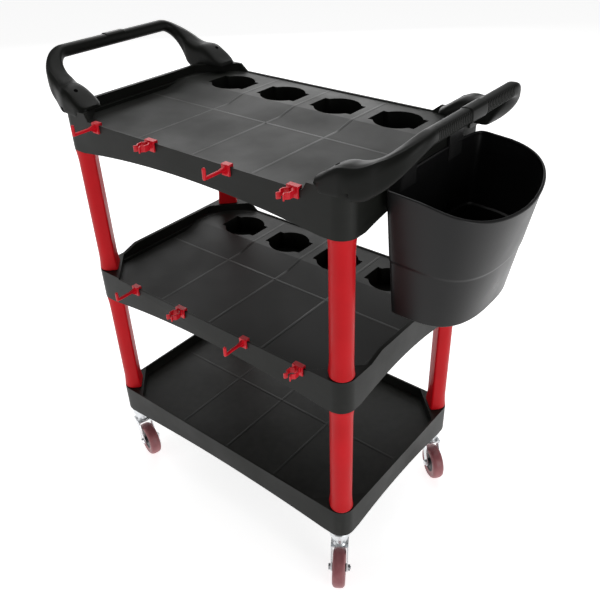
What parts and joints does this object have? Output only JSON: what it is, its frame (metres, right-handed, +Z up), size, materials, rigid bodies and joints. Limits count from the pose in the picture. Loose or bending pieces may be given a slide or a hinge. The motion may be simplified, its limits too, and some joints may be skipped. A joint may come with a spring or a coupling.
{
  "type": "rolling utility cart",
  "caption": "Tiered plastic service cart with red corner posts, end handles, a hanging bin, tool hooks and clips, and swivel casters.",
  "frame": {"origin": "middle of the whole cart's box, on the floor under the wheels", "axes": "+Z up, +X along the trays towards the hanging bin, +Y from the hook side to the side with the bottle wells"},
  "size_m": [0.9236, 0.464, 0.9645],
  "materials": {
    "black_tray_plastic": "matt moulded polypropylene with a fine texture",
    "red_post_plastic": "satin moulded plastic",
    "black_handle_plastic": "satin moulded plastic with a ribbed grip",
    "black_bin_plastic": "satin moulded plastic",
    "red_clip_plastic": "glossy moulded plastic",
    "bright_zinc": "bright zinc plate",
    "bearing_steel": "ground steel",
    "maroon_tread": "satin polyurethane",
    "dark_hub_plastic": "matt moulded plastic"
  },
  "bodies": {
    "root": {"top_tray": "black_tray_plastic", "middle_tray": "black_tray_plastic", "bottom_tray": "black_tray_plastic", "upper_post_fl": "red_post_plastic", "upper_post_fr": "red_post_plastic", "upper_post_bl": "red_post_plastic", "upper_post_br": "red_post_plastic", "lower_post_fl": "red_post_plastic", "lower_post_fr": "red_post_plastic", "lower_post_bl": "red_post_plastic", "lower_post_br": "red_post_plastic", "left_handle": "black_handle_plastic", "right_handle": "black_handle_plastic", "handle_screws": "bright_zinc", "top_hook_left": "red_clip_plastic", "top_hook_right": "red_clip_plastic", "top_clip_left": "red_clip_plastic", "top_clip_right": "red_clip_plastic", "middle_hook_left": "red_clip_plastic", "middle_hook_right": "red_clip_plastic", "middle_clip_left": "red_clip_plastic", "middle_clip_right": "red_clip_plastic", "caster_stem_fl": "bright_zinc", "caster_stem_fr": "bright_zinc", "caster_stem_bl": "bright_zinc", "caster_stem_br": "bright_zinc"},
    "bin": {"utility_bin": "black_bin_plastic"},
    "caster_fl": {"ball_race_fl": "bearing_steel", "caster_fork_fl": "bright_zinc", "axle_bolt_fl": "bright_zinc", "axle_nut_fl": "bright_zinc"},
    "wheel_fl": {"tyre_fl": "maroon_tread", "wheel_hub_fl": "dark_hub_plastic"},
    "caster_fr": {"ball_race_fr": "bearing_steel", "caster_fork_fr": "bright_zinc", "axle_bolt_fr": "bright_zinc", "axle_nut_fr": "bright_zinc"},
    "wheel_fr": {"tyre_fr": "maroon_tread", "wheel_hub_fr": "dark_hub_plastic"},
    "caster_bl": {"ball_race_bl": "bearing_steel", "caster_fork_bl": "bright_zinc", "axle_bolt_bl": "bright_zinc", "axle_nut_bl": "bright_zinc"},
    "wheel_bl": {"tyre_bl": "maroon_tread", "wheel_hub_bl": "dark_hub_plastic"},
    "caster_br": {"ball_race_br": "bearing_steel", "caster_fork_br": "bright_zinc", "axle_bolt_br": "bright_zinc", "axle_nut_br": "bright_zinc"},
    "wheel_br": {"tyre_br": "maroon_tread", "wheel_hub_br": "dark_hub_plastic"}
  },
  "joints": [
    {"name": "bin_lift", "type": "slide", "parent": "root", "child": "bin", "axis": [0, 0, 1], "range_m": [0, 0.009]},
    {"name": "caster_swivel_fl", "type": "hinge", "parent": "root", "child": "caster_fl", "pos_m": [-0.34425, -0.1565, 0.11], "axis": [0, 0, 1], "continuous": true},
    {"name": "wheel_spin_fl", "type": "hinge", "parent": "caster_fl", "child": "wheel_fl", "pos_m": [-0.32034, -0.16381, 0.04], "axis": [0.2924, 0.9563, 0], "continuous": true},
    {"name": "caster_swivel_fr", "type": "hinge", "parent": "root", "child": "caster_fr", "pos_m": [0.25975, -0.1565, 0.11], "axis": [0, 0, 1], "continuous": true},
    {"name": "wheel_spin_fr", "type": "hinge", "parent": "caster_fr", "child": "wheel_fr", "pos_m": [0.27337, -0.17747, 0.04], "axis": [0.8387, 0.5446, 0], "continuous": true},
    {"name": "caster_swivel_bl", "type": "hinge", "parent": "root", "child": "caster_bl", "pos_m": [-0.34425, 0.2065, 0.11], "axis": [0, 0, 1], "continuous": true},
    {"name": "wheel_spin_bl", "type": "hinge", "parent": "caster_bl", "child": "wheel_bl", "pos_m": [-0.32159, 0.19593, 0.04], "axis": [0.4226, 0.9063, 0], "continuous": true},
    {"name": "caster_swivel_br", "type": "hinge", "parent": "root", "child": "caster_br", "pos_m": [0.25975, 0.2065, 0.11], "axis": [0, 0, 1], "continuous": true},
    {"name": "wheel_spin_br", "type": "hinge", "parent": "caster_br", "child": "wheel_br", "pos_m": [0.27945, 0.19111, 0.04], "axis": [0.6157, 0.788, 0], "continuous": true}
  ]
}
